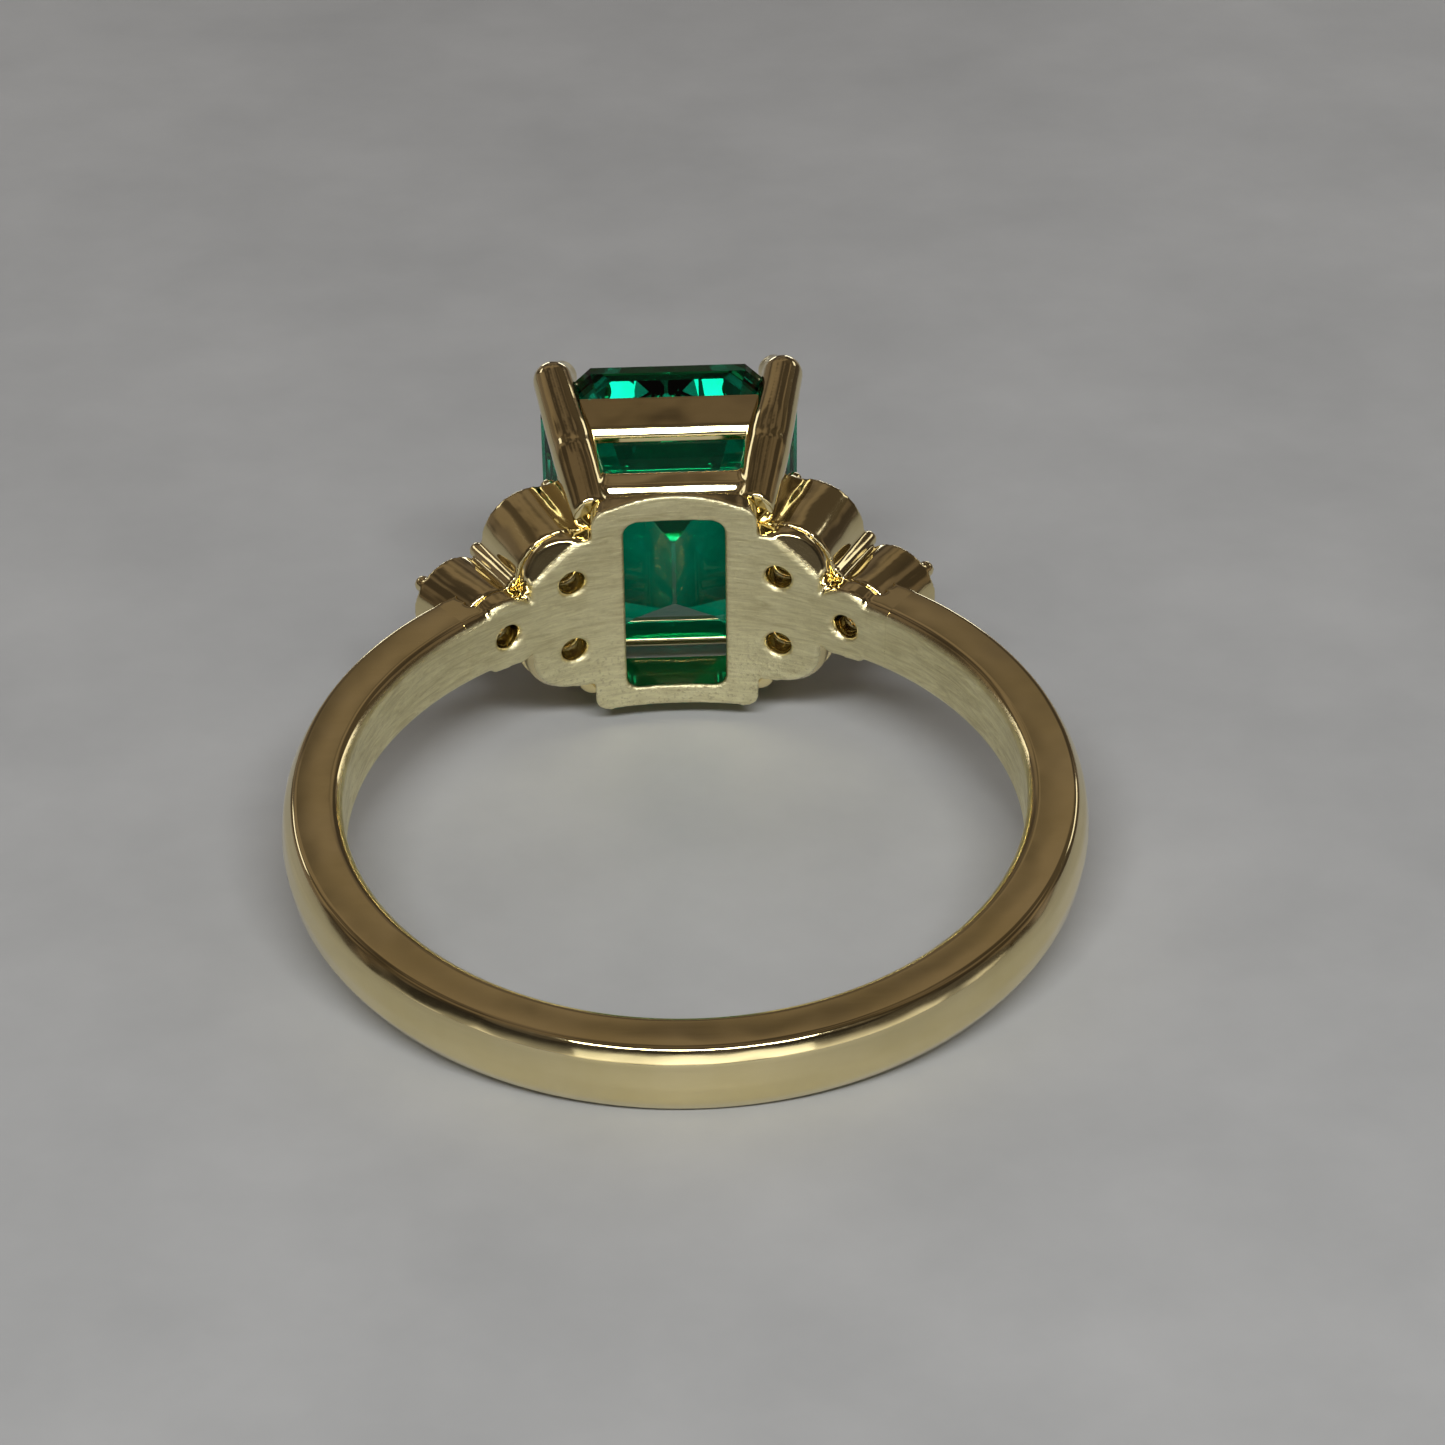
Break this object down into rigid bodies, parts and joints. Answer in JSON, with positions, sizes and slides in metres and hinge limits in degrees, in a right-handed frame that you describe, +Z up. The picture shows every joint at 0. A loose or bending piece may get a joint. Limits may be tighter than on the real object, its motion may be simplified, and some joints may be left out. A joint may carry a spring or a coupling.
{
  "type": "engagement ring",
  "caption": "Gold ring with a step-cut green centre stone held by claws above a pierced plate, and small round stones on each shoulder.",
  "frame": {"origin": "centre of the bounding box in X and Y, at the level of the table that the ring lies on", "axes": "+Z up from the table. +Y from the palm side of the band to the head. +X to the right across the head, seen from the palm side. The finger axis leans 8.93 degrees from +Z towards -Y, because the head's claws hold that end up."},
  "size_m": [0.0204, 0.025, 0.0092],
  "materials": {
    "polished_gold": "high polish, pale yellow gold",
    "satin_gold": "brushed satin, pale yellow gold, slightly pitted",
    "emerald": "polished facets",
    "clear_stone": "polished facets"
  },
  "bodies": {
    "root": {"shank": "polished_gold", "gallery_bridge": "satin_gold", "basket_base_rail": "polished_gold", "basket_upper_rail": "polished_gold", "claw_front_left": "polished_gold", "claw_front_right": "polished_gold", "claw_back_left": "polished_gold", "claw_back_right": "polished_gold", "centre_stone": "emerald", "cup_left_front": "polished_gold", "cup_left_back": "polished_gold", "cup_left_outer": "polished_gold", "cup_right_front": "polished_gold", "cup_right_back": "polished_gold", "cup_right_outer": "polished_gold", "stone_left_front": "clear_stone", "stone_left_back": "clear_stone", "stone_left_outer": "clear_stone", "stone_right_front": "clear_stone", "stone_right_back": "clear_stone", "stone_right_outer": "clear_stone", "small_claws_left": "polished_gold", "small_claws_right": "polished_gold"}
  },
  "joints": []
}
